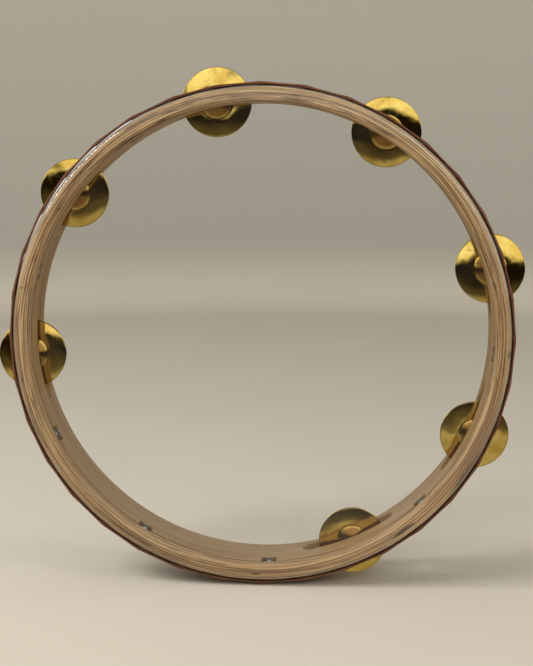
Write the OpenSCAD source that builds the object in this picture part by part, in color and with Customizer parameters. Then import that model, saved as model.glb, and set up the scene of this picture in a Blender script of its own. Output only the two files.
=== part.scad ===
// Tuneable tambourine: a bent wood shell with jingle slots, a wood tuning ring raised by jack
// bolts, a clear film head folded over the ring, and a leather band round its edge.
// It stands on its rim: the hoop's axis is Y and the head faces -Y. The origin is the centre of
// the head's playing face. Clock angles run clockwise from the top, as the player sees the head.

/* [Hoop] */
// Outside diameter of the wood shell
shell_d = 320; // [300:1:340]
// Thickness of the bent wood
wall = 10.5; // [10.5:0.5:12]
// Depth from the playing face to the rear rim
hoop_depth = 48; // [47:1:60]
// Depth of the tuning ring
ring_depth = 10.7; // [9:0.1:12]
// Gap between the tuning ring and the shell as tuned
tuning_gap = 1.5; // [1.2:0.1:2]

/* [Jingles] */
// Number of jingle bays
bay_count = 7; // [7:1:7]
// Angle from one bay to the next, in degrees
bay_pitch = 42; // [40:0.5:43]
// Clock angle of the middle bay, in degrees
middle_bay = 31; // [0:1:359]
// Diameter of a jingle
jingle_d = 45; // [40:1:46]
// Length of a slot along the hoop
slot_l = 65; // [60:1:68]
// Width of a slot along the hoop's axis
slot_w = 12; // [12:0.5:13]
// Depth of the slots' middle behind the playing face
slot_depth = 33.5; // [33:0.5:34]

/* [Bolts] */
// Size of a bolt's hexagon across its flats
bolt_af = 8; // [8:1:8]
// Depth of the pocket that holds a bolt's head
pocket_depth = 7; // [6:0.5:8]

/* [Edge band] */
// Number of flats round the band, one for each pleat of the film under it
band_flats = 36; // [24:1:48]
// Width of the band along the hoop's axis
band_w = 22.5; // [20:0.5:23]

/* [Hidden] */
$fn = 96;
eps = 0.01;

film_t = 0.25;
film_clear = 0.03;
shell_or = shell_d / 2;
shell_ir = shell_or - wall;
mid_r = (shell_or + shell_ir) / 2;
shell_edge_r = 1.2;

// The tuning ring sits just behind the film and is a little smaller than the shell, so that
// the film runs straight from one to the other.
ring_front = film_t + film_clear;
ring_back = ring_front + ring_depth;
ring_or = shell_or - 0.5;
ring_outer_round = 4;
ring_inner_round = 3;
ring_back_round = 0.5;
shell_front = ring_back + tuning_gap;

// Film that wraps the ring's edge, and its skirt glued to the outside of the shell.
bend_steps = 10;
film_end_gap = 0.5;
skirt_start = shell_front + 0.4;
skirt_w = 12;

// Leather band glued over the skirt. It hangs free over the ring.
band_start = 3.5;
band_clear = 0.22;
band_ir = shell_or + film_clear + film_t + band_clear;
band_apothem = band_ir + 1.3;
// Sides of the band's bore as drawn. It is fine because the leather is thin.
band_bore_fn = 360;

// M5 jack bolts on a circle just inside the wall's middle.
bolt_circle_r = mid_r - 0.45;
head_h = 3.5;
bolt_corner_r = bolt_af / 2 / cos(30);
head_chamfer_r = bolt_af / 2 * 0.95;
head_chamfer_h = 0.6;
shank_r = 2.45;
shank_l = 18;
pocket_r = bolt_corner_r + 0.38;
insert_or = 4;
insert_bore_r = 2.53;
insert_flange_r = 4.7;
insert_flange_t = 0.8;
insert_l = 10;
insert_fit = 0.02;
shank_hole_r = 2.8;
shank_hole_l = 17;
bolt_count = bay_count + 2;

// Jingle pins, driven in from the rear rim and across the slots.
pin_r = 1;
pin_fit = 0.01;
pin_start = slot_depth - slot_w / 2 - 6.5;
pin_recess = 0.3;
pin_chamfer = 0.3;

// A jingle is thin sheet with a shallow dish and a domed bell round its hole.
sheet_t = 0.5;
hole_r = 2.75;
bell_r = 10.5;
bell_h = 2.2;
dish_h = 0.9;
pair_gap = 1;
curve_steps = 8;
// Play between a hanging jingle's hole and the underside of its pin
hang_play = 0.1;
hang = hole_r - pin_r - hang_play;
// How far each pair leans off the hoop's plane, in degrees, from the first bay to the last
bay_leans = [-1.5, 2, -1, 1.5, -2.5, 2.5, 1];
// Bays whose jingles rest on the ground and are pushed up instead of hanging
resting_bays = [7];

// Clock angle of a bay, counted clockwise from 1
function bay_angle(bay) = middle_bay + (bay - (bay_count + 1) / 2) * bay_pitch;

// A bolt stands half a pitch each side of every bay, and one more in the middle of the grip
function bolt_angle(i) =
    i == bolt_count ? middle_bay + 180 : bay_angle(1) + (i - 1.5) * bay_pitch;

function is_resting(bay) = len([for (b = resting_bays) if (b == bay) b]) > 0;
function drop(bay) = is_resting(bay) ? -hang : hang;

// Height of a jingle's inner face above its rim, at radius r
function dish_at(r) = dish_h * (1 - pow(max(r - bell_r, 0) / (jingle_d / 2 - bell_r), 2));
function bell_at(r) = r < bell_r ? bell_h * cos(90 * r / bell_r) : 0;
function jingle_face(r) = dish_at(r) + bell_at(r);
function jingle_radii() = concat(
    [for (i = [0:curve_steps - 1]) hole_r + (bell_r - hole_r) * i / curve_steps],
    [for (i = [0:curve_steps]) bell_r + (jingle_d / 2 - bell_r) * i / curve_steps]
);
hole_plane = jingle_face(hole_r);

// Turns a piece modelled with the hoop's axis along z, depth growing from the head, upright
module upright() {
    rotate([-90, 0, 0]) children();
}

// Places children on a circle: x points outward, y along the hoop, z to the rear
module at_clock(angle, radius) {
    rotate([0, 0, angle - 90]) translate([radius, 0, 0]) children();
}

// Rectangle from the origin with its own radius at each corner: [near axis front, far front,
// far rear, near rear]
module rounded_section(w, h, corners) {
    difference() {
        square([w, h]);
        corner_waste([0, 0], corners[0]);
        translate([w, 0]) mirror([1, 0]) corner_waste([0, 0], corners[1]);
        translate([w, h]) mirror([1, 0]) mirror([0, 1]) corner_waste([0, 0], corners[2]);
        translate([0, h]) mirror([0, 1]) corner_waste([0, 0], corners[3]);
    }
}

module corner_waste(at, r) {
    translate(at) difference() {
        translate([-1, -1]) square(r + 1);
        translate([r, r]) circle(r = r);
    }
}

// Opening for a pair of jingles: straight sides and round ends
module slot_cut() {
    half_span = (slot_l - slot_w) / 2;
    translate([-wall, 0, slot_depth]) rotate([0, 90, 0]) linear_extrude(2 * wall) {
        square([slot_w, 2 * half_span], center = true);
        for (side = [-1, 1])
            translate([0, side * half_span]) circle(d = slot_w);
    }
}

// Pocket for a bolt's head, open to the front and to the inside of the hoop, with the hole for
// the insert and the bolt's end below it
module bolt_pocket_cut() {
    translate([0, 0, shell_front - 1]) {
        cylinder(r = pocket_r, h = pocket_depth + 1);
        translate([-wall, -pocket_r, 0]) cube([wall, 2 * pocket_r, pocket_depth + 1]);
    }
    translate([0, 0, shell_front + pocket_depth - eps]) {
        cylinder(r = insert_or + insert_fit, h = insert_l + insert_fit);
        cylinder(r = shank_hole_r, h = shank_hole_l);
    }
}

module pin_hole_cut() {
    translate([0, 0, pin_start - pin_fit])
        cylinder(r = pin_r + pin_fit, h = hoop_depth - pin_start + 1);
}

module shell() {
    r = shell_edge_r;
    color("burlywood") upright() difference() {
        rotate_extrude() translate([shell_ir, shell_front])
            rounded_section(wall, hoop_depth - shell_front, [0.6, 0.6, r, r]);
        for (bay = [1:bay_count]) {
            at_clock(bay_angle(bay), mid_r) slot_cut();
            at_clock(bay_angle(bay), mid_r) pin_hole_cut();
        }
        for (i = [1:bolt_count]) at_clock(bolt_angle(i), bolt_circle_r) bolt_pocket_cut();
    }
}

module tuning_ring() {
    rounds = [ring_inner_round, ring_outer_round, ring_back_round, ring_back_round];
    color("tan") upright() rotate_extrude() translate([shell_ir, ring_front])
        rounded_section(ring_or - shell_ir, ring_depth, rounds);
}

// Flat part of the clear film head, stretched over the ring
module head_film() {
    color("aliceblue", 0.3) upright() cylinder(r = ring_or - ring_outer_round, h = film_t);
}

// Film where it turns over the ring's rounded edge in short flats and runs down its side
module film_edge() {
    inner_r = ring_outer_round + film_clear;
    outer_r = inner_r + film_t;
    straight = ring_depth - ring_outer_round - film_end_gap;
    turns = [for (i = [0:bend_steps]) -90 + 90 * i / bend_steps];
    outer = [for (turn = turns) outer_r * [cos(turn), sin(turn)]];
    inner = [for (i = [bend_steps:-1:0]) inner_r * [cos(turns[i]), sin(turns[i])]];
    side = [[outer_r, straight], [inner_r, straight]];
    color("aliceblue", 0.3) upright() rotate_extrude()
        translate([ring_or - ring_outer_round, ring_front + ring_outer_round])
            polygon(concat(outer, side, inner));
}

// Film skirt glued to the outside of the shell
module film_skirt() {
    color("aliceblue", 0.3) upright() rotate_extrude()
        translate([shell_or + film_clear, skirt_start]) square([film_t, skirt_w]);
}

// Leather band: round inside, one flat for each pleat outside
module edge_band() {
    corner_r = band_apothem / cos(180 / band_flats);
    turns = [for (i = [0:band_flats - 1]) i * 360 / band_flats];
    outline = [for (turn = turns) corner_r * [cos(turn), sin(turn)]];
    color("saddlebrown") upright() translate([0, 0, band_start]) difference() {
        linear_extrude(band_w) polygon(outline);
        translate([0, 0, -1]) cylinder(r = band_ir, h = band_w + 2, $fn = band_bore_fn);
    }
}

// Threaded inserts pressed into the shell below the bolt pockets
module bolt_inserts() {
    color("lightsteelblue") upright() for (i = [1:bolt_count])
        at_clock(bolt_angle(i), bolt_circle_r) translate([0, 0, shell_front + pocket_depth])
            difference() {
                union() {
                    cylinder(r = insert_or, h = insert_l);
                    translate([0, 0, -insert_flange_t])
                        cylinder(r = insert_flange_r, h = insert_flange_t);
                }
                translate([0, 0, -1]) cylinder(r = insert_bore_r, h = insert_l + 2);
            }
}

// Jack bolt: its hexagon head bears on the back of the tuning ring
module tuning_bolt(i) {
    chamfer_r = bolt_corner_r + 0.2;
    color("slategray") upright() at_clock(bolt_angle(i), bolt_circle_r)
        translate([0, 0, ring_back]) {
            intersection() {
                cylinder(r = bolt_corner_r, h = head_h, $fn = 6);
                union() {
                    cylinder(r1 = head_chamfer_r, r2 = chamfer_r, h = head_chamfer_h);
                    translate([0, 0, head_chamfer_h]) cylinder(r = chamfer_r, h = head_h);
                }
            }
            translate([0, 0, head_h - eps]) cylinder(r = shank_r, h = shank_l + eps);
        }
}

// Pin that a pair of jingles slides on
module jingle_pin(bay) {
    pin_l = hoop_depth - pin_recess - pin_start;
    color("silver") upright() at_clock(bay_angle(bay), mid_r) translate([0, 0, pin_start]) {
        cylinder(r = pin_r, h = pin_l - pin_chamfer);
        translate([0, 0, pin_l - pin_chamfer])
            cylinder(r1 = pin_r, r2 = pin_r - pin_chamfer, h = pin_chamfer);
    }
}

// Jingle with its bell towards -z and its rim at z = 0
module jingle_blank() {
    radii = jingle_radii();
    last = len(radii) - 1;
    inner = [for (r = radii) [r, -jingle_face(r)]];
    outer = [for (i = [last:-1:0]) [radii[i], -jingle_face(radii[i]) - sheet_t]];
    rotate_extrude() polygon(concat(inner, outer));
}

// One of a pair on its pin. side is 1 for the front jingle and -1 for the rear one, whose
// hollow faces the front one's
module jingle(bay, side) {
    color("gold") upright() translate([0, drop(bay), 0]) at_clock(bay_angle(bay), mid_r)
        translate([0, 0, slot_depth - side * (pair_gap / 2 + hole_plane)])
            rotate([0, 0, 90 - bay_angle(bay)]) rotate([bay_leans[bay - 1], 0, 0])
                translate([0, 0, side * hole_plane])
                    mirror([0, 0, side < 0 ? 1 : 0]) jingle_blank();
}

BAYS = [for (bay = [1:bay_count]) bay];
BOLTS = [for (i = [1:bolt_count]) i];

shell();
tuning_ring();
head_film();
film_edge();
film_skirt();
edge_band();
bolt_inserts();
for (i = BOLTS)
    tuning_bolt(i);
for (bay = BAYS) {
    jingle_pin(bay);
    jingle(bay, 1);
    jingle(bay, -1);
}
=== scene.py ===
"""Looks of the tuneable tambourine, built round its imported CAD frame. Lengths are in metres.

The hoop's axis is Y and passes through the origin, and the head faces -Y. Clock angles run
clockwise from the top, as the player sees the head.
"""

import math
import random

import bmesh
import bpy
import numpy as np
from mathutils import Matrix, Vector, noise


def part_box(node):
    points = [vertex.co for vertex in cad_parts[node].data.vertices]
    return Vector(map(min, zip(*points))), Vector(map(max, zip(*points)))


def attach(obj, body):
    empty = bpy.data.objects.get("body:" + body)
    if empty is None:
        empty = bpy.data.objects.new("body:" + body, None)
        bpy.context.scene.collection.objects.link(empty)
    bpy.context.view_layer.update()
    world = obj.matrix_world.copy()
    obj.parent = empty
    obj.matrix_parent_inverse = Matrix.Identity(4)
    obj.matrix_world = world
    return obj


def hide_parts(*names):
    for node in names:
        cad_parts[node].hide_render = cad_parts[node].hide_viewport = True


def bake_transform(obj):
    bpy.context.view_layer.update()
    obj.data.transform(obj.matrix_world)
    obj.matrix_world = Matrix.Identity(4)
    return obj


BAYS = range(1, 8)
BOLTS = range(1, 10)

# Jingle slots in the shell
SLOT_L = 0.065
SLOT_W = 0.012
SLOT_EDGE_R = 0.0007

# Edge radii of the shell and of the tuning ring
SHELL_FRONT_R = 0.0006
SHELL_REAR_R = 0.0012
RING_OUTER_R = 0.004
RING_INNER_R = 0.003
RING_BACK_R = 0.0005

# Film head
FILM_T = 0.00025
FILM_CLEAR = 0.00003
PLEATS = 36
PLEAT_H = 0.0006

# Jingle sheet, dish, bell and hole
SHEET_T = 0.0005
DISH_H = 0.0009
BELL_R = 0.0105
BELL_H = 0.0022
HOLE_R = 0.00275

# Jack bolts
BOLT_AF = 0.008
HEAD_H = 0.0035
SHANK_R = 0.00245
THREAD_PITCH = 0.0008
THREAD_H = 0.0003
POCKET_CLEAR = 0.00038
POCKET_H = 0.007
INSERT_HOLE_R = 0.00402
INSERT_HOLE_L = 0.0171
PIN_HOLE_R = 0.00101

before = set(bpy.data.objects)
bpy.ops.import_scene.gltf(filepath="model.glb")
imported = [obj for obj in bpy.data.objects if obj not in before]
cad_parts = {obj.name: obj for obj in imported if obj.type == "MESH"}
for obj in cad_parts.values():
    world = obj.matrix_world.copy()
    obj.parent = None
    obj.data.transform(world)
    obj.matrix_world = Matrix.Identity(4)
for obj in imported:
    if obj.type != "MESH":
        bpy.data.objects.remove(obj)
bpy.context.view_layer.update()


# ---- Sizes and places read from the frame ----

def points(node):
    """Vertices of a CAD node, one row each."""
    return np.array([v.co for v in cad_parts[node].data.vertices], float)


def radial_range(node):
    """Smallest and largest distance of a CAD node's vertices from the hoop's axis."""
    co = points(node)
    radii = np.hypot(co[:, 0], co[:, 2])
    return float(radii.min()), float(radii.max())


def centre(node):
    low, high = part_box(node)
    return (low + high) / 2


def depth_range(node):
    low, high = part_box(node)
    return low.y, high.y


def clock(node):
    """Clock angle of a CAD node's centre, in radians."""
    c = centre(node)
    return math.atan2(c.x, c.z)


SHELL_IR, SHELL_OR = radial_range("shell")
SHELL_FRONT, SHELL_REAR = depth_range("shell")
RING_IR, RING_OR = radial_range("tuning_ring")
RING_FRONT, RING_BACK = depth_range("tuning_ring")
SKIRT_FRONT, SKIRT_REAR = depth_range("film_skirt")
BAND_FRONT, BAND_REAR = depth_range("edge_band")
BAND_IR, BAND_CORNER_R = radial_range("edge_band")
SLOT_Y = (centre("jingle_front_1").y + centre("jingle_rear_1").y) / 2
MID_R = (SHELL_IR + SHELL_OR) / 2
JINGLE_R = (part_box("jingle_front_1")[1].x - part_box("jingle_front_1")[0].x) / 2
FLOOR_Z = min(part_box(name)[0].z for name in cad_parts)


# ---- Mesh building ----

def outward(angle):
    """Unit vector away from the hoop's axis at a clock angle."""
    return Vector((math.sin(angle), 0, math.cos(angle)))


def tangent(angle):
    """Unit vector along the hoop, clockwise, at a clock angle."""
    return Vector((math.cos(angle), 0, -math.sin(angle)))


def smooth_step(low, high, value):
    t = min(max((value - low) / (high - low), 0), 1)
    return t * t * (3 - 2 * t)


def make_object(name, vertices, faces, sharp_angle=40):
    """Links a new mesh with outward normals, smooth but for its sharp edges."""
    mesh = bpy.data.meshes.new(name)
    mesh.from_pydata(vertices, [], faces)
    bm = bmesh.new()
    bm.from_mesh(mesh)
    bmesh.ops.recalc_face_normals(bm, faces=bm.faces)
    if bm.calc_volume(signed=True) < 0:
        bmesh.ops.reverse_faces(bm, faces=bm.faces)
    bm.to_mesh(mesh)
    bm.free()
    mesh.shade_smooth()
    mesh.set_sharp_from_angle(angle=math.radians(sharp_angle))
    obj = bpy.data.objects.new(name, mesh)
    bpy.context.scene.collection.objects.link(obj)
    return obj


def grid_faces(rows, columns, wrap_rows=True, wrap_columns=True):
    """Quads of a grid of points kept row by row."""
    faces = []
    for i in range(rows if wrap_rows else rows - 1):
        for j in range(columns if wrap_columns else columns - 1):
            a, b = i * columns, (i + 1) % rows * columns
            k = (j + 1) % columns
            faces.append((a + j, a + k, b + k, b + j))
    return faces


def fill_line(start, end, step):
    """Points between two outline points, no further apart than step, without the ends."""
    count = math.ceil(math.dist(start, end) / step)
    return [
        (start[0] + (end[0] - start[0]) * i / count, start[1] + (end[1] - start[1]) * i / count)
        for i in range(1, count)
    ]


def rounded_section(r0, r1, y0, y1, rounds, step, arc_points):
    """Closed outline of (radius, y). rounds are the corner radii: inner front, outer front,
    outer rear and inner rear."""
    inner_front, outer_front, outer_rear, inner_rear = rounds
    corners = [
        (r0 + inner_front, y0 + inner_front, inner_front, 180),
        (r1 - outer_front, y0 + outer_front, outer_front, 270),
        (r1 - outer_rear, y1 - outer_rear, outer_rear, 0),
        (r0 + inner_rear, y1 - inner_rear, inner_rear, 90),
    ]
    outline = []
    for r, y, radius, first in corners:
        turns = [math.radians(first + 90 * i / (arc_points - 1)) for i in range(arc_points)]
        arc = [(r + radius * math.cos(a), y + radius * math.sin(a)) for a in turns]
        if outline:
            outline += fill_line(outline[-1], arc[0], step)
        outline += arc
    return outline + fill_line(outline[-1], outline[0], step)


def outline_normals(outline):
    """Outward normals of a closed outline that runs round its inside on the left."""
    count = len(outline)
    normals = []
    for i in range(count):
        before, after = outline[i - 1], outline[(i + 1) % count]
        run = (after[0] - before[0], after[1] - before[1])
        size = math.hypot(*run)
        normals.append((run[1] / size, -run[0] / size))
    return normals


def revolve(name, outline, segments, relief=None):
    """Turns a closed outline of (radius, y) round the hoop's axis. relief(angle, radius, y, i)
    is how far outline point i is pushed out along its normal at a clock angle."""
    normals = outline_normals(outline)
    vertices = []
    for s in range(segments):
        angle = 2 * math.pi * s / segments
        direction = outward(angle)
        for i, (radius, y) in enumerate(outline):
            push = relief(angle, radius, y, i) if relief else 0
            out = radius + push * normals[i][0]
            vertices.append((direction.x * out, y + push * normals[i][1], direction.z * out))
    return make_object(name, vertices, grid_faces(segments, len(outline)))


def lathe(name, profile, segments, radius_at, sharp_angle):
    """Turns an open profile of (radius, z), closed at its ends on the axis, round local Z.
    radius_at(radius, z, angle) shapes a point's radius."""
    vertices = [(0, 0, profile[0][1])]
    for radius, z in profile:
        for s in range(segments):
            angle = 2 * math.pi * s / segments
            out = radius_at(radius, z, angle)
            vertices.append((out * math.cos(angle), out * math.sin(angle), z))
    vertices.append((0, 0, profile[-1][1]))
    last = len(vertices) - 1
    faces = []
    for a, b, c, d in grid_faces(len(profile), segments, wrap_rows=False):
        faces.append((a + 1, b + 1, c + 1, d + 1))
    for s in range(segments):
        after = (s + 1) % segments
        faces.append((0, 1 + s, 1 + after))
        faces.append((last, last - segments + s, last - segments + after))
    return make_object(name, vertices, faces, sharp_angle)


def prism(name, outline, place, start, end):
    """Solid between two depths. place(u, v, depth) puts an outline point in the frame."""
    vertices = [place(u, v, depth) for depth in (start, end) for u, v in outline]
    count = len(outline)
    faces = grid_faces(2, count, wrap_rows=False)
    faces += [tuple(range(count)), tuple(range(count, 2 * count))]
    return make_object(name, vertices, faces)


def join(objects):
    """One object from several, under the first one's name."""
    first = objects[0]
    with bpy.context.temp_override(
        active_object=first, object=first,
        selected_objects=objects, selected_editable_objects=objects,
    ):
        bpy.ops.object.join()
    return first


def subtract(obj, cutter):
    """Cuts cutter out of obj's mesh and removes it."""
    modifier = obj.modifiers.new("cut", "BOOLEAN")
    modifier.operation = "DIFFERENCE"
    modifier.solver = "EXACT"
    modifier.object = cutter
    depsgraph = bpy.context.evaluated_depsgraph_get()
    mesh = bpy.data.meshes.new_from_object(obj.evaluated_get(depsgraph))
    obj.modifiers.clear()
    obj.data = mesh
    bpy.data.objects.remove(cutter)


def finish_piece(obj, material, slot, body, *replaced):
    """Gives a piece its material and its body, and hides the CAD nodes it stands for. slot is not
    used.
    """
    obj.data.materials.clear()
    obj.data.materials.append(material)
    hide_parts(*replaced)
    if body:
        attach(obj, body)


# ---- Node helpers ----

def add_node(tree, kind, inputs=None, **settings):
    made = tree.nodes.new(kind)
    for key, value in settings.items():
        setattr(made, key, value)
    for key, value in (inputs or {}).items():
        if isinstance(value, bpy.types.NodeSocket):
            tree.links.new(value, made.inputs[key])
        else:
            made.inputs[key].default_value = value
    return made


def maths(tree, operation, *values):
    return add_node(tree, "ShaderNodeMath", dict(enumerate(values)), operation=operation).outputs[0]


def mix_colour(tree, factor, first, second):
    inputs = {0: factor, 6: first, 7: second}
    return add_node(tree, "ShaderNodeMix", inputs, data_type="RGBA").outputs[2]


def step_between(tree, value, low, high):
    """Smoothly 0 below low and 1 above high. With low above high it falls instead."""
    inputs = {"Value": value, "From Min": low, "From Max": high}
    made = add_node(tree, "ShaderNodeMapRange", inputs, interpolation_type="SMOOTHSTEP")
    return made.outputs[0]


def scaled(tree, value, low, high):
    """Maps 0..1 to low..high."""
    inputs = {"Value": value, "To Min": low, "To Max": high}
    return add_node(tree, "ShaderNodeMapRange", inputs).outputs[0]


def noise_field(tree, vector, scale=1.0, detail=3.0, roughness=0.55, w=0.0):
    inputs = {"Vector": vector, "Scale": scale, "Detail": detail, "Roughness": roughness, "W": w}
    return add_node(tree, "ShaderNodeTexNoise", inputs, noise_dimensions="4D").outputs["Fac"]


def away_from_axis(tree, position, across):
    """Vector away from an axis and its length. across names the two axes at right angles to it."""
    split = add_node(tree, "ShaderNodeSeparateXYZ", {0: position})
    parts = {axis: split.outputs[axis] for axis in across}
    flat = add_node(tree, "ShaderNodeCombineXYZ", parts).outputs[0]
    length = add_node(tree, "ShaderNodeVectorMath", {0: flat}, operation="LENGTH").outputs["Value"]
    return flat, length


def new_material(name):
    """A new material, its node tree and its Principled shader."""
    material = bpy.data.materials.new(name)
    material.use_nodes = True
    return material, material.node_tree, material.node_tree.nodes["Principled BSDF"]


def set_surface(tree, shader, colour, roughness, height, bump_distance, bump_strength):
    """Feeds colour, roughness and bump into a Principled shader."""
    tree.links.new(colour, shader.inputs["Base Color"])
    tree.links.new(roughness, shader.inputs["Roughness"])
    inputs = {"Height": height, "Distance": bump_distance, "Strength": bump_strength}
    bump = add_node(tree, "ShaderNodeBump", inputs)
    tree.links.new(bump.outputs[0], shader.inputs["Normal"])


class HoopSpace:
    """Cylindrical coordinates round the hoop's axis, for grain that follows the bend."""

    def __init__(self, tree):
        self.tree = tree
        self.position = add_node(tree, "ShaderNodeTexCoord").outputs["Object"]
        self.y = add_node(tree, "ShaderNodeSeparateXYZ", {0: self.position}).outputs["Y"]
        flat, self.radius = away_from_axis(tree, self.position, "XZ")
        heading = add_node(tree, "ShaderNodeVectorMath", {0: flat}, operation="NORMALIZE")
        self.heading = add_node(tree, "ShaderNodeSeparateXYZ", {0: heading.outputs[0]})

    def grain(self, along, across, detail=3.0, roughness=0.55, seed=0.0):
        """Noise with along cells a metre round the hoop and across cells a metre over it."""
        tree, turn = self.tree, along * MID_R
        inputs = {
            "X": maths(tree, "MULTIPLY", self.heading.outputs["X"], turn),
            "Y": maths(tree, "MULTIPLY_ADD", self.radius, across, seed),
            "Z": maths(tree, "MULTIPLY", self.heading.outputs["Z"], turn),
        }
        vector = add_node(tree, "ShaderNodeCombineXYZ", inputs).outputs[0]
        w = maths(tree, "MULTIPLY", self.y, across)
        return noise_field(tree, vector, 1.0, detail, roughness, w)

    def spot(self, degrees, radius, half_length, half_width, y=None):
        """1 in the middle of a mark that lies along the hoop, 0 outside it."""
        tree, angle = self.tree, math.radians(degrees)
        middle = outward(angle) * radius + Vector((0, y or 0, 0))
        offset = add_node(
            tree, "ShaderNodeVectorMath", {0: self.position, 1: middle}, operation="SUBTRACT"
        ).outputs[0]
        axes = [(tangent(angle), half_length), (outward(angle), half_width)]
        if y is not None:
            axes.append((Vector((0, 1, 0)), half_width))
        total = 0.0
        for axis, size in axes:
            inputs = {0: offset, 1: axis / size}
            dot = add_node(tree, "ShaderNodeVectorMath", inputs, operation="DOT_PRODUCT")
            part = dot.outputs["Value"]
            total = maths(tree, "MULTIPLY_ADD", part, part, total)
        return step_between(tree, total, 1.0, 0.0)


# ---- Materials ----

# Marks in the ring's front wood: clock angle in degrees, distance from the hoop's axis, half
# length, half width and depth
RING_MARKS = [
    (282, 0.1562, 0.0008, 0.0008, 0.0005),
    (260, 0.1560, 0.0016, 0.0009, 0.0004),
    (243, 0.1565, 0.0006, 0.0006, 0.0005),
    (11, 0.1530, 0.0006, 0.0006, 0.0004),
    (55, 0.1525, 0.0008, 0.0006, 0.0004),
    (93, 0.1583, 0.0030, 0.0011, 0.0004),
    (143, 0.1548, 0.0095, 0.0014, 0.0003),
    (123, 0.1570, 0.0180, 0.0012, 0.0001),
    (181, 0.1548, 0.0040, 0.0008, 0.0001),
]
# Marks deeper than this are dirty black, and the others brown
DIRTY_DEPTH = 0.0002


def ring_wood():
    """Open-grained bent wood, worn pale on its crown and dark in its pores."""
    material, tree, shader = new_material("ring_wood")
    hoop = HoopSpace(tree)
    tone = hoop.grain(7, 160, detail=2, seed=3)
    streak = hoop.grain(16, 1000, detail=5, roughness=0.7, seed=11)
    fibre = hoop.grain(70, 4200, detail=3, seed=23)
    pore = step_between(tree, hoop.grain(42, 1500, detail=4, roughness=0.65, seed=37), 0.55, 0.61)
    pore_zone = step_between(tree, hoop.grain(9, 320, detail=2, seed=41), 0.4, 0.58)
    colour = mix_colour(
        tree, step_between(tree, tone, 0.3, 0.7), (0.4, 0.25, 0.112, 1), (0.58, 0.4, 0.215, 1)
    )
    streaks = maths(tree, "MULTIPLY", step_between(tree, streak, 0.48, 0.57), 0.8)
    colour = mix_colour(tree, streaks, colour, (0.14, 0.068, 0.026, 1))
    colour = mix_colour(tree, scaled(tree, fibre, -0.15, 0.35), colour, (0.64, 0.46, 0.26, 1))
    pores = maths(tree, "MULTIPLY", pore, pore_zone)
    colour = mix_colour(tree, maths(tree, "MULTIPLY", pores, 0.9), colour, (0.06, 0.03, 0.014, 1))
    colour = ring_growth_lines(tree, hoop, colour)
    colour = ring_stains(tree, hoop, colour)
    wear = step_between(tree, hoop.radius, RING_OR - 0.0045, RING_OR - 0.001)
    worn = maths(tree, "MULTIPLY", wear, scaled(tree, tone, 0.0, 0.45))
    colour = mix_colour(tree, worn, colour, (0.55, 0.44, 0.3, 1))
    roughness = scaled(tree, streak, 0.5, 0.75)
    height = maths(tree, "MULTIPLY_ADD", pores, -1.5, maths(tree, "ADD", fibre, streak))
    set_surface(tree, shader, colour, roughness, height, 0.00018, 0.8)
    shader.inputs["Specular IOR Level"].default_value = 0.25
    return material


def ring_growth_lines(tree, hoop, colour):
    """Dark growth lines that run the length of the bend and wander a little across it."""
    drift = hoop.grain(2.5, 50, detail=3, seed=57)
    place = maths(tree, "MULTIPLY_ADD", hoop.radius, 3600, maths(tree, "MULTIPLY", hoop.y, 1500))
    phase = maths(tree, "MULTIPLY_ADD", drift, 16, place)
    line = step_between(tree, maths(tree, "SINE", phase), 0.68, 0.97)
    broken = step_between(tree, hoop.grain(11, 700, detail=3, seed=63), 0.36, 0.5)
    strength = maths(tree, "MULTIPLY", line, maths(tree, "MULTIPLY", broken, 0.9))
    return mix_colour(tree, strength, colour, (0.085, 0.043, 0.019, 1))


def ring_stains(tree, hoop, colour):
    """Red-brown and grey stains, the dirt line inside the crown, knots and knocks."""
    red = hoop.spot(116, 0.156, 0.042, 0.0075)
    red = maths(tree, "MULTIPLY", red, scaled(tree, hoop.grain(14, 700, seed=71), 0.25, 0.85))
    colour = mix_colour(tree, red, colour, (0.2, 0.105, 0.062, 1))
    low = hoop.spot(205, 0.156, 0.12, 0.02)
    drift = hoop.grain(8, 20, detail=1, seed=83)
    wander = maths(tree, "MULTIPLY_ADD", drift, 0.0022, RING_OR - 0.0052)
    off = maths(tree, "ABSOLUTE", maths(tree, "SUBTRACT", hoop.radius, wander))
    dirt = step_between(tree, off, 0.00055, 0.0001)
    dirt = maths(tree, "MULTIPLY", dirt, scaled(tree, low, 0.25, 0.85))
    colour = mix_colour(tree, dirt, colour, (0.12, 0.068, 0.038, 1))
    for degrees, radius, half_length, half_width, depth in RING_MARKS:
        mark = hoop.spot(degrees, radius, half_length * 1.15, half_width * 1.2)
        dark = (0.035, 0.028, 0.026, 1) if depth > DIRTY_DEPTH else (0.09, 0.05, 0.03, 1)
        colour = mix_colour(tree, maths(tree, "MULTIPLY", mark, 0.85), colour, dark)
    return colour


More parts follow.
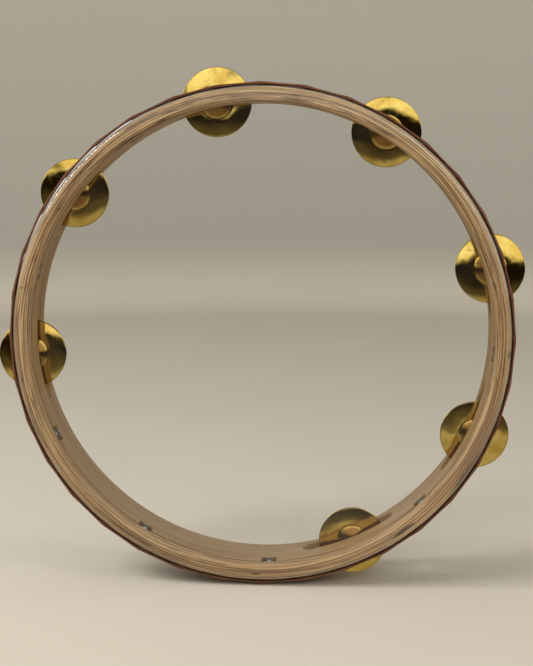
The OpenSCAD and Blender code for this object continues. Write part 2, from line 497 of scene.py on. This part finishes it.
def shell_wood():
    """Smoother veneer of the shell, with darker laminations on its rear rim."""
    material, tree, shader = new_material("shell_wood")
    hoop = HoopSpace(tree)
    tone = hoop.grain(5, 90, detail=2, seed=103)
    streak = hoop.grain(12, 380, detail=5, roughness=0.65, seed=111)
    fibre = hoop.grain(55, 3800, detail=3, seed=123)
    pore = step_between(tree, hoop.grain(45, 2200, detail=3, seed=131), 0.57, 0.63)
    colour = mix_colour(
        tree, step_between(tree, tone, 0.3, 0.7), (0.25, 0.145, 0.053, 1), (0.36, 0.228, 0.094, 1)
    )
    streaks = step_between(tree, streak, 0.5, 0.66)
    colour = mix_colour(tree, maths(tree, "MULTIPLY", streaks, 0.65), colour, (0.17, 0.09, 0.04, 1))
    colour = mix_colour(tree, maths(tree, "MULTIPLY", pore, 0.6), colour, (0.09, 0.048, 0.024, 1))
    colour = mix_colour(tree, scaled(tree, fibre, 0.0, 0.3), colour, (0.44, 0.31, 0.18, 1))
    rim = step_between(tree, hoop.y, SHELL_REAR - 0.0006, SHELL_REAR - 0.0002)
    half_ply = (SHELL_OR - SHELL_IR) / 6
    across = maths(tree, "PINGPONG", maths(tree, "SUBTRACT", hoop.radius, SHELL_IR), half_ply)
    glue = step_between(tree, across, half_ply - 0.0002, half_ply - 0.00003)
    glue = maths(tree, "MULTIPLY", glue, rim)
    colour = mix_colour(tree, maths(tree, "MULTIPLY", glue, 0.6), colour, (0.1, 0.055, 0.03, 1))
    end_grain = scaled(tree, hoop.grain(420, 2500, seed=143), 0.0, 0.5)
    end_grain = maths(tree, "MULTIPLY", rim, end_grain)
    colour = mix_colour(tree, end_grain, colour, (0.24, 0.15, 0.085, 1))
    roughness = scaled(tree, streak, 0.4, 0.62)
    height = maths(tree, "MULTIPLY_ADD", pore, -1.2, maths(tree, "ADD", fibre, streak))
    set_surface(tree, shader, colour, roughness, height, 0.00006, 0.7)
    shader.inputs["Specular IOR Level"].default_value = 0.35
    return material


def band_leather():
    """Dark red-brown leather with rubbed edges."""
    material, tree, shader = new_material("band_leather")
    hoop = HoopSpace(tree)
    pebble = noise_field(tree, hoop.position, 900, detail=4, roughness=0.6)
    cells = add_node(tree, "ShaderNodeTexVoronoi", {"Vector": hoop.position, "Scale": 1300.0})
    cloud = noise_field(tree, hoop.position, 40, detail=3)
    colour = mix_colour(
        tree, step_between(tree, cloud, 0.3, 0.7), (0.06, 0.019, 0.009, 1), (0.13, 0.043, 0.019, 1)
    )
    front = step_between(tree, hoop.y, BAND_FRONT + 0.0011, BAND_FRONT + 0.0001)
    rear = step_between(tree, hoop.y, BAND_REAR - 0.0011, BAND_REAR - 0.0001)
    edge = maths(tree, "MAXIMUM", front, rear)
    rubbed = maths(tree, "MULTIPLY", edge, step_between(tree, pebble, 0.35, 0.6))
    colour = mix_colour(tree, maths(tree, "MULTIPLY", rubbed, 0.5), colour, (0.26, 0.11, 0.05, 1))
    crease = hoop.grain(120, 300, detail=3, seed=163)
    colour = mix_colour(
        tree, maths(tree, "MULTIPLY", step_between(tree, crease, 0.6, 0.72), 0.4), colour,
        (0.035, 0.012, 0.008, 1),
    )
    roughness = scaled(tree, pebble, 0.38, 0.62)
    height = maths(tree, "ADD", cells.outputs["Distance"], pebble)
    set_surface(tree, shader, colour, roughness, height, 0.00008, 0.6)
    shader.inputs["Specular IOR Level"].default_value = 0.3
    return material


def jingle_brass():
    """Old polished brass: tarnish, brown heat on the bell, fingerprints and turning marks."""
    material, tree, shader = new_material("jingle_brass")
    position = add_node(tree, "ShaderNodeTexCoord").outputs["Object"]
    lot = add_node(tree, "ShaderNodeObjectInfo").outputs["Random"]
    lot = maths(tree, "MULTIPLY", lot, 40)
    radius = away_from_axis(tree, position, "XY")[1]
    cloud = noise_field(tree, position, 70, detail=5, roughness=0.6, w=lot)
    smudge_lot = maths(tree, "ADD", lot, 7)
    smudge = noise_field(tree, position, 190, detail=6, roughness=0.68, w=smudge_lot)
    freckle = noise_field(tree, position, 1100, detail=2, w=maths(tree, "ADD", lot, 13))
    colour = mix_colour(
        tree, step_between(tree, cloud, 0.32, 0.68), (0.6, 0.41, 0.085, 1), (0.84, 0.64, 0.19, 1)
    )
    tarnish = step_between(tree, smudge, 0.52, 0.72)
    colour = mix_colour(tree, maths(tree, "MULTIPLY", tarnish, 0.5), colour, (0.3, 0.185, 0.035, 1))
    bell = step_between(tree, radius, BELL_R * 1.15, BELL_R * 0.75)
    heat = maths(tree, "MULTIPLY", bell, scaled(tree, smudge, 0.7, 1.1))
    colour = mix_colour(tree, heat, colour, (0.21, 0.092, 0.022, 1))
    speck = step_between(tree, freckle, 0.68, 0.74)
    colour = mix_colour(tree, maths(tree, "MULTIPLY", speck, 0.75), colour, (0.09, 0.05, 0.02, 1))
    rim = step_between(tree, radius, JINGLE_R - 0.0009, JINGLE_R - 0.0001)
    colour = mix_colour(tree, maths(tree, "MULTIPLY", rim, 0.6), colour, (0.2, 0.12, 0.04, 1))
    roughness = scaled(tree, step_between(tree, smudge, 0.45, 0.8), 0.05, 0.17)
    roughness = maths(tree, "MULTIPLY_ADD", maths(tree, "ADD", speck, bell), 0.12, roughness)
    turning = maths(tree, "SINE", maths(tree, "MULTIPLY", radius, 2 * math.pi / 0.00055))
    height = maths(tree, "MULTIPLY_ADD", turning, 0.12, smudge)
    set_surface(tree, shader, colour, roughness, height, 0.00002, 0.6)
    shader.inputs["Metallic"].default_value = 1.0
    return material


def zinc_steel(name, light, dark, rough):
    """Zinc-plated or bright steel with mottled spangle and fine scratches."""
    material, tree, shader = new_material(name)
    position = add_node(tree, "ShaderNodeTexCoord").outputs["Object"]
    spangle = add_node(tree, "ShaderNodeTexVoronoi", {"Vector": position, "Scale": 900.0})
    blotch = noise_field(tree, position, 350, detail=4)
    scratch = noise_field(tree, position, 2600, detail=2)
    factor = scaled(tree, blotch, -0.2, 0.9)
    factor = maths(tree, "MULTIPLY_ADD", spangle.outputs["Distance"], 0.5, factor)
    colour = mix_colour(tree, factor, dark, light)
    roughness = scaled(tree, blotch, rough, rough + 0.2)
    roughness = maths(tree, "ADD", roughness, scaled(tree, scratch, 0, 0.08))
    set_surface(tree, shader, colour, roughness, scratch, 0.00002, 0.5)
    shader.inputs["Metallic"].default_value = 1.0
    return material


def clear_film():
    """Clear film: it mirrors by Fresnel, and turns milky where it is stretched over the edge. A
    white patch on the upper left of the edge, at about clock angle 311, is a painted highlight.
    """
    material, tree, shader = new_material("clear_film")
    hoop = HoopSpace(tree)
    scuff = hoop.grain(45, 500, detail=5, roughness=0.7, seed=181)
    stretched = step_between(tree, hoop.radius, RING_OR - 0.0004, RING_OR + 0.0001)
    # The white spot at clock angle 311 is a painted highlight, standing in for a window's
    # reflection streaking along the edge. The 0.04 all round is the stretched film's own milkiness.
    milk_and_painted_highlight = maths(tree, "MULTIPLY_ADD", hoop.spot(311, RING_OR, 0.11, 0.02), 0.9, 0.04)
    haze_and_painted_highlight = maths(tree, "MULTIPLY", stretched, milk_and_painted_highlight)
    haze_and_painted_highlight = maths(tree, "MULTIPLY", haze_and_painted_highlight, scaled(tree, scuff, 0.8, 1.3))
    haze_and_painted_highlight = maths(tree, "ADD", haze_and_painted_highlight, 0.003)
    shader.inputs["Base Color"].default_value = (0.8, 0.82, 0.84, 1)
    shader.inputs["Roughness"].default_value = 0.3
    gloss = add_node(
        tree, "ShaderNodeBsdfGlossy", {"Color": (1, 1, 1, 1), "Roughness": 0.05}
    ).outputs[0]
    clear = add_node(tree, "ShaderNodeBsdfTransparent", {"Color": (1, 1, 1, 1)}).outputs[0]
    fresnel = add_node(tree, "ShaderNodeFresnel", {"IOR": 1.36}).outputs[0]
    mirror = maths(tree, "MINIMUM", fresnel, 0.035)
    film = add_node(tree, "ShaderNodeMixShader", {0: mirror, 1: clear, 2: gloss}).outputs[0]
    final = add_node(tree, "ShaderNodeMixShader", {0: haze_and_painted_highlight, 1: film, 2: shader.outputs[0]})
    tree.links.new(final.outputs[0], tree.nodes["Material Output"].inputs["Surface"])
    return material


# ---- Pieces ----

def make_tuning_ring():
    outline = rounded_section(
        RING_IR, RING_OR, RING_FRONT, RING_BACK,
        [RING_INNER_R, RING_OUTER_R, RING_BACK_R, RING_BACK_R], step=0.0005, arc_points=9,
    )

    def relief(angle, radius, y, i):
        """Hollows of the open grain, the hoop's slow sway and the knocks, all cut inward."""
        x, z = math.sin(angle), math.cos(angle)
        coarse = noise.noise(Vector((x * 4, z * 4, i * 0.45)))
        fine = noise.noise(Vector((x * 14, z * 14, i * 1.15 + 50)))
        sway = noise.noise(Vector((x * 2.5, z * 2.5, 90)))
        grain = 0.00007 * max(coarse, 0) + 0.00008 * max(fine - 0.1, 0)
        depth = 0.00003 + grain + 0.00004 * (1 + sway)
        if y < RING_FRONT + RING_OUTER_R:
            for degrees, mark_radius, half_length, half_width, mark_depth in RING_MARKS:
                turn = (angle - math.radians(degrees) + math.pi) % (2 * math.pi) - math.pi
                along = turn * mark_radius / half_length
                over = (radius - mark_radius) / half_width
                depth += mark_depth * math.exp(-1.5 * (along * along + over * over))
        return -depth

    obj = revolve("tuning_ring_wood", outline, 1260, relief)
    finish_piece(obj, ring_wood(), "ring_wood", "tuning_ring", "tuning_ring")


def slot_outline(spread, arc_points=17):
    """Stadium of a slot, pushed out by spread, as (along the hoop, along the axis)."""
    half_span = (SLOT_L - SLOT_W) / 2
    outline = []
    for side, first in ((1, -90), (-1, 90)):
        for i in range(arc_points):
            turn = math.radians(first + 180 * i / (arc_points - 1))
            size = SLOT_W / 2 + spread
            outline.append((side * half_span + size * math.cos(turn), size * math.sin(turn)))
    return outline


def slot_cutter(angle):
    """Cutter for one slot, flared at both faces of the wall so that its edges come out round."""
    margin = 0.0015
    flare = [math.radians(60 * i / 5) for i in range(6)]
    levels = []
    for turn in flare:
        levels.append((SLOT_EDGE_R * (1 - math.sin(turn)), SLOT_EDGE_R * (1 - math.cos(turn))))
    depth, spread = levels[-1]
    levels.append((depth - margin, spread + margin * math.tan(flare[-1])))
    rings = [(SHELL_IR + depth, spread) for depth, spread in reversed(levels)]
    rings += [(SHELL_OR - depth, spread) for depth, spread in levels]

    def place(out, along, axial):
        return outward(angle) * out + tangent(angle) * along + Vector((0, SLOT_Y + axial, 0))

    end_outline = slot_outline(rings[0][1])
    vertices = [place(SHELL_IR - SLOT_W / 2, along, axial) for along, axial in end_outline]
    for radius, spread in rings:
        for along, axial in slot_outline(spread):
            vertices.append(place(math.sqrt(radius * radius - along * along), along, axial))
    vertices += [place(SHELL_OR + SLOT_W / 2, along, axial) for along, axial in end_outline]
    count = len(end_outline)
    faces = grid_faces(len(rings) + 2, count, wrap_rows=False)
    faces += [tuple(range(count)), tuple(range(len(vertices) - count, len(vertices)))]
    return make_object("slot_cutter", vertices, faces)


def circle_outline(radius, count=32):
    turns = [2 * math.pi * i / count for i in range(count)]
    return [(radius * math.cos(a), radius * math.sin(a)) for a in turns]


def pocket_outline(radius):
    """Round to the outside and open to the inside of the hoop, as (outward, along)."""
    turns = [math.radians(-90 + 180 * i / 24) for i in range(25)]
    outline = [(radius * math.cos(a), radius * math.sin(a)) for a in turns]
    reach = SHELL_OR - SHELL_IR
    return outline + [(-reach, radius), (-reach, -radius)]


def at_axis(node):
    """Places (outward, along, depth) round the axis of a bolt or pin."""
    angle = clock(node)
    middle = centre(node)
    middle.y = 0

    def place(out, along, depth):
        return middle + outward(angle) * out + tangent(angle) * along + Vector((0, depth, 0))

    return place


def make_shell():
    outline = rounded_section(
        SHELL_IR, SHELL_OR, SHELL_FRONT, SHELL_REAR,
        [SHELL_FRONT_R, SHELL_FRONT_R, SHELL_REAR_R, SHELL_REAR_R], step=0.003, arc_points=5,
    )
    obj = revolve("shell_wood_hoop", outline, 720)
    margin = 0.001
    pocket_r = BOLT_AF / 2 / math.cos(math.radians(30)) + POCKET_CLEAR
    pocket_floor = SHELL_FRONT + POCKET_H
    openings = [slot_cutter(clock(f"jingle_pin_{bay}")) for bay in BAYS]
    holes = []
    for i in BOLTS:
        place = at_axis(f"tuning_bolt_{i}")
        pocket = pocket_outline(pocket_r)
        openings.append(prism("pocket", pocket, place, SHELL_FRONT - margin, pocket_floor))
        hole = circle_outline(INSERT_HOLE_R)
        hole_end = pocket_floor + INSERT_HOLE_L
        holes.append(prism("hole", hole, place, pocket_floor - margin, hole_end))
    for bay in BAYS:
        pin = f"jingle_pin_{bay}"
        start = depth_range(pin)[0]
        hole = circle_outline(PIN_HOLE_R)
        holes.append(prism("hole", hole, at_axis(pin), start, SHELL_REAR + margin))
    subtract(obj, join(openings))
    subtract(obj, join(holes))
    obj.data.shade_smooth()
    obj.data.set_sharp_from_angle(angle=math.radians(38))
    finish_piece(obj, shell_wood(), "shell_wood", "frame", "shell")


def make_edge_band():
    """Leather strip glued on in short flats, one for each pleat of the film."""
    half_flat = math.pi / PLEATS
    points_per_flat = 24
    most_hollow = 0.00025
    crease_depth = 0.0002
    crease_half_width = 0.0005
    ripple_depth = 0.00006
    apothem = BAND_CORNER_R * math.cos(half_flat)
    thickness = apothem - BAND_IR
    outline = rounded_section(
        BAND_IR, apothem, BAND_FRONT, BAND_REAR,
        [0.0002, 0.0005, 0.0005, 0.0002], step=0.0012, arc_points=5,
    )
    draw = random.Random(36)
    hollows = [draw.uniform(0.0, most_hollow) for _ in range(PLEATS)]

    def relief(angle, radius, y, i):
        turn = angle % (2 * half_flat) - half_flat
        outer = smooth_step(BAND_IR + thickness * 0.3, apothem, radius)
        corner = apothem / math.cos(turn) - apothem
        deepest = hollows[int(angle / (2 * half_flat)) % PLEATS]
        hollow = deepest * math.cos(turn / half_flat * math.pi / 2)
        from_crease = (abs(turn) - half_flat) * MID_R
        crease = crease_depth * math.exp(-(from_crease / crease_half_width) ** 2)
        ripple = ripple_depth * (noise.noise(outward(angle) * 30 + Vector((0, y * 300, 0))) + 1)
        return outer * (corner - hollow - crease - ripple)

    obj = revolve("edge_band_leather", outline, PLEATS * points_per_flat, relief)
    finish_piece(obj, band_leather(), "band_leather", "frame", "edge_band")


def make_film():
    """Clear head, folded over the ring and pleated down to the skirt glued on the shell."""
    inner_r = RING_OUTER_R + FILM_CLEAR
    crown_r = RING_OR - RING_OUTER_R
    crown_y = RING_FRONT + RING_OUTER_R
    side_r = crown_r + inner_r
    skirt_r = radial_range("film_skirt")[0]
    flat_rings, bend_steps, points_per_pleat = 24, 12, 20
    flat_y = RING_FRONT - FILM_CLEAR
    path = [(crown_r * i / flat_rings, flat_y, 0, -1) for i in range(1, flat_rings)]
    for i in range(bend_steps + 1):
        turn = math.radians(-90 + 90 * i / bend_steps)
        normal = (math.cos(turn), math.sin(turn))
        path.append((crown_r + inner_r * normal[0], crown_y + inner_r * normal[1], *normal))
    side_start, side_end = (side_r, crown_y), (side_r, RING_BACK)
    skirt_start, skirt_end = (skirt_r, SKIRT_FRONT), (skirt_r, SKIRT_REAR)
    side = fill_line(side_start, side_end, 0.0012) + fill_line(side_end, skirt_start, 0.0004)
    side += fill_line(skirt_start, skirt_end, 0.0015) + [skirt_end]
    path += [(r, y, 1, 0) for r, y in side]
    segments = PLEATS * points_per_pleat
    pleat_turn = 2 * math.pi / PLEATS
    rise = 0.95

    def pleat(angle, r, y):
        """Each tuck rises over its pleat and drops back in a short fold."""
        along = angle % pleat_turn / pleat_turn
        saw = along / rise if along < rise else (1 - along) / (1 - rise)
        start = smooth_step(RING_FRONT + 0.001, RING_FRONT + RING_OUTER_R, y)
        fade = 1 - smooth_step(SHELL_FRONT - 0.0006, SKIRT_FRONT, y)
        reach = smooth_step(crown_r + 0.002, side_r, r)
        return PLEAT_H * saw * start * fade * reach

    outer = [(r + n * FILM_T, y + m * FILM_T) for r, y, n, m in path]
    inner = [(r, y) for r, y, n, m in reversed(path)]
    vertices = []
    for s in range(segments):
        angle = 2 * math.pi * s / segments
        direction = outward(angle)
        for r, y in outer + inner:
            out = r + pleat(angle, r, y)
            vertices.append((direction.x * out, y, direction.z * out))
    count = len(outer + inner)
    faces = grid_faces(segments, count, wrap_columns=False)
    outer_middle = len(vertices)
    vertices.append((0, flat_y - FILM_T, 0))
    vertices.append((0, flat_y, 0))
    for s in range(segments):
        after = (s + 1) % segments
        faces.append((outer_middle, s * count, after * count))
        faces.append((outer_middle + 1, s * count + count - 1, after * count + count - 1))
    obj = make_object("film_head", vertices, faces, 60)
    finish_piece(obj, clear_film(), "clear_film", None, "head_film", "film_edge", "film_skirt")
    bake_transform(obj)


def dish_height(r):
    """Height of a jingle's inner face above its rim plane."""
    dish = DISH_H * (1 - (max(r - BELL_R, 0) / (JINGLE_R - BELL_R)) ** 2)
    bell = BELL_H * math.cos(math.pi / 2 * r / BELL_R) if r < BELL_R else 0
    return dish + bell


def jingle_matrix(node):
    """Local Z runs from the bell to the hollow side, and the origin is the rim's centre."""
    co = points(node)
    middle = centre(node)
    axis = Vector(np.linalg.svd(co - co.mean(0), full_matrices=False)[2][2])
    if (axis.y < 0) == ("front" in node):
        axis = -axis
    rim = max(axis.dot(Vector(p)) for p in co)
    middle.y = (rim - axis.x * middle.x - axis.z * middle.z) / axis.y
    upright = Vector((0, 0, 1))
    side = upright.cross(axis).normalized()
    return Matrix.Translation(middle) @ Matrix((side, axis.cross(side), axis)).transposed().to_4x4()


def make_jingle(node, body, material, seed):
    """Thin turned brass with its own dents, rolled rim and hole."""
    draw = random.Random(seed)
    shift = Vector((draw.uniform(0, 99), draw.uniform(0, 99), draw.uniform(0, 99)))
    face_steps, rim_steps, segments = 34, 6, 144
    broad_dent, small_dent = 0.00016, 0.00003
    edge = SHEET_T / 2
    rim_r = JINGLE_R - edge
    radii = [HOLE_R + (rim_r - HOLE_R) * i / face_steps for i in range(face_steps + 1)]
    outline = [(r, -dish_height(r)) for r in radii]
    rim_turns = [math.radians(90 - 180 * i / rim_steps) for i in range(1, rim_steps)]
    rim_z = -dish_height(rim_r) - edge
    outline += [(rim_r + edge * math.cos(a), rim_z + edge * math.sin(a)) for a in rim_turns]
    outline += [(r, -dish_height(r) - SHEET_T) for r in reversed(radii)]
    vertices = []
    for s in range(segments):
        angle = 2 * math.pi * s / segments
        for r, z in outline:
            x, y = r * math.cos(angle), r * math.sin(angle)
            near_rim = smooth_step(0.014, JINGLE_R, r)
            free = smooth_step(HOLE_R + 0.001, BELL_R, r) * (1 - 0.75 * near_rim)
            broad = noise.noise(Vector((x, y, 0)) * 75 + shift)
            small = noise.noise(Vector((x, y, 0)) * 210 - shift)
            vertices.append((x, y, z + free * (broad_dent * broad + small_dent * small)))
    obj = make_object(node + "_brass", vertices, grid_faces(segments, len(outline)), 50)
    obj.matrix_world = jingle_matrix(node)
    finish_piece(obj, material, "jingle_brass", body, node)


def make_jingles():
    material = jingle_brass()
    for bay in BAYS:
        for place in ("front", "rear"):
            node = f"jingle_{place}_{bay}"
            make_jingle(node, node, material, 10 * bay + len(place))


def make_bolt(i, material):
    """Hexagon-head jack bolt with a chamfered head and a rolled thread."""
    node = f"tuning_bolt_{i}"
    flat_r = BOLT_AF / 2
    washer_r = flat_r * 0.95
    chamfer_h, back_chamfer_h = 0.0006, 0.0003
    tip_taper = 0.0004
    length = depth_range(node)[1] - depth_range(node)[0]
    profile = [(0.5 * washer_r, 0), (washer_r, 0), (2 * flat_r, chamfer_h)]
    profile += [(2 * flat_r, HEAD_H - back_chamfer_h), (flat_r * 1.03, HEAD_H), (SHANK_R, HEAD_H)]
    levels = math.ceil((length - HEAD_H) / (THREAD_PITCH / 6))
    profile += [(SHANK_R, HEAD_H + (length - HEAD_H) * k / levels) for k in range(1, levels + 1)]

    def radius_at(radius, z, angle):
        if radius > SHANK_R + 1e-6:
            sixth = math.pi / 3
            hexagon = flat_r / math.cos(angle % sixth - sixth / 2)
            return min(radius, hexagon)
        turn = (z / THREAD_PITCH - angle / (2 * math.pi)) % 1
        start = smooth_step(HEAD_H, HEAD_H + THREAD_PITCH, z)
        lead = tip_taper * smooth_step(length - THREAD_PITCH, length, z)
        return radius - start * THREAD_H * abs(2 * turn - 1) - lead

    obj = lathe(node + "_steel", profile, 48, radius_at, 30)
    place = at_axis(node)
    angle = clock(node)
    turn = Matrix((outward(angle), tangent(angle), Vector((0, 1, 0)))).transposed().to_4x4()
    obj.matrix_world = Matrix.Translation(place(0, 0, depth_range(node)[0])) @ turn
    finish_piece(obj, material, "bolt_steel", node, node)


def make_bolts():
    material = zinc_steel("bolt_steel", (0.66, 0.72, 0.76, 1), (0.36, 0.42, 0.46, 1), 0.42)
    for i in BOLTS:
        make_bolt(i, material)


def finish_cad_nodes():
    """Materials for the CAD nodes that show as they are."""
    pin = zinc_steel("pin_steel", (0.72, 0.71, 0.68, 1), (0.4, 0.38, 0.35, 1), 0.22)
    insert = zinc_steel("insert_steel", (0.6, 0.58, 0.5, 1), (0.36, 0.33, 0.26, 1), 0.3)
    for node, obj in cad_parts.items():
        if node.startswith("jingle_pin") or node == "bolt_inserts":
            obj.data.materials.clear()
            obj.data.materials.append(insert if node == "bolt_inserts" else pin)


# ---- Studio ----

def make_stage():
    """Round pale floor that turns up into a low wall all round, with the lights inside it or
    above it."""
    floor_r, turn_r, wall_h = 1.35, 0.12, 0.9
    floor_rings, turn_steps, segments = 12, 8, 96
    profile = [(floor_r * i / floor_rings, 0) for i in range(1, floor_rings + 1)]
    for i in range(1, turn_steps + 1):
        turn = math.radians(90 * i / turn_steps)
        profile.append((floor_r + turn_r * math.sin(turn), turn_r * (1 - math.cos(turn))))
    profile.append((floor_r + turn_r, wall_h))
    vertices = [(0, 0, FLOOR_Z)]
    for radius, z in profile:
        for s in range(segments):
            angle = 2 * math.pi * s / segments
            vertices.append((radius * math.cos(angle), radius * math.sin(angle), FLOOR_Z + z))
    faces = []
    for face in grid_faces(len(profile), segments, wrap_rows=False):
        faces.append(tuple(k + 1 for k in face))
    faces += [(0, 1 + s, 1 + (s + 1) % segments) for s in range(segments)]
    obj = make_object("studio_floor", vertices, faces)
    material, tree, shader = new_material("studio_floor")
    position = add_node(tree, "ShaderNodeTexCoord").outputs["Object"]
    height = add_node(tree, "ShaderNodeSeparateXYZ", {0: position}).outputs["Z"]
    up = step_between(tree, height, FLOOR_Z + 0.01, FLOOR_Z + turn_r)
    cloud = noise_field(tree, position, 6, detail=2)
    floor = mix_colour(tree, cloud, (0.64, 0.59, 0.505, 1), (0.69, 0.64, 0.545, 1))
    colour = mix_colour(tree, up, floor, (0.45, 0.435, 0.395, 1))
    tree.links.new(colour, shader.inputs["Base Color"])
    shader.inputs["Roughness"].default_value = 0.9
    obj.data.materials.append(material)
    obj.visible_glossy = False


def add_light(name, place, size, power, colour, mirrored):
    """Soft light aimed at the head's centre. It shows in reflections only if it is mirrored."""
    data = bpy.data.lights.new(name, "AREA")
    data.shape = "RECTANGLE"
    data.size, data.size_y = size
    data.energy = power
    data.color = colour
    obj = bpy.data.objects.new(name, data)
    bpy.context.scene.collection.objects.link(obj)
    obj.location = place
    obj.rotation_euler = (-Vector(place)).to_track_quat("-Z", "Y").to_euler()
    obj.visible_camera = False
    obj.visible_glossy = mirrored


def make_lights():
    soft_white, daylight = (1.0, 0.97, 0.92), (0.95, 0.98, 1.0)
    add_light("overhead", (0.1, 0.1, 1.4), (1.4, 1.4), 2.8, soft_white, False)
    add_light("front", (0.25, -1.22, 0.72), (1.0, 0.4), 3.8, soft_white, False)
    add_light("key_left", (-0.95, -0.55, 1.15), (0.5, 0.5), 9, (1.0, 0.96, 0.9), False)
    add_light("window_right", (1.0, -0.75, 0.9), (0.5, 0.8), 4.5, (1.0, 0.95, 0.88), True)
    add_light("window_left", (-1.05, -0.15, 0.75), (0.14, 0.6), 5.5, daylight, True)


def make_room():
    """Surroundings for the brass to mirror: a dark room with pale cloth below and bright
    windows above the horizon. Heights are the ray's z, from -1 to 1."""
    dark, bedding = (0.012, 0.009, 0.005, 1), (0.09, 0.078, 0.055, 1)
    pale_cloth, ceiling = (0.48, 0.43, 0.34, 1), (0.26, 0.255, 0.24, 1)
    window_frame, window_light = (0.12, 0.11, 0.09, 1), (1.3, 1.25, 1.1, 1)
    world = bpy.data.worlds.new("room")
    world.use_nodes = True
    tree = world.node_tree
    background = tree.nodes["Background"]
    ray = add_node(tree, "ShaderNodeTexCoord").outputs["Generated"]
    split = add_node(tree, "ShaderNodeSeparateXYZ", {0: ray})
    patch = noise_field(tree, ray, 5.0, detail=3, w=4.0)
    patch = maths(tree, "SUBTRACT", patch, 0.5)
    height = maths(tree, "MULTIPLY_ADD", patch, 0.22, split.outputs["Z"])
    bed = step_between(tree, height, -0.05, -0.18)
    cloth = step_between(tree, height, -0.21, -0.29)
    window = step_between(tree, height, 0.03, 0.07)
    pane = step_between(tree, noise_field(tree, ray, 3.2, detail=1, w=9.0), 0.3, 0.42)
    colour = mix_colour(tree, bed, dark, bedding)
    colour = mix_colour(tree, cloth, colour, pale_cloth)
    glow = mix_colour(tree, pane, window_frame, window_light)
    colour = mix_colour(tree, window, colour, glow)
    high = step_between(tree, split.outputs["Z"], 0.35, 0.6)
    colour = mix_colour(tree, high, colour, ceiling)
    tree.links.new(colour, background.inputs["Color"])
    bpy.context.scene.world = world


def make_camera():
    """At the right of the hoop's middle and a little above it."""
    data = bpy.data.cameras.new("camera")
    data.sensor_width = 36
    data.lens = 70.3
    obj = bpy.data.objects.new("camera", data)
    bpy.context.scene.collection.objects.link(obj)
    obj.location = (0.052, -0.816, 0.126)
    target = Vector((0.0044, 0, 0.0047))
    obj.rotation_euler = (target - obj.location).to_track_quat("-Z", "Y").to_euler()
    bpy.context.scene.camera = obj
    bpy.context.scene.view_settings.view_transform = "Standard"


make_camera()
make_tuning_ring()
make_shell()
make_edge_band()
make_film()
make_jingles()
make_bolts()
finish_cad_nodes()
make_stage()
make_lights()
make_room()
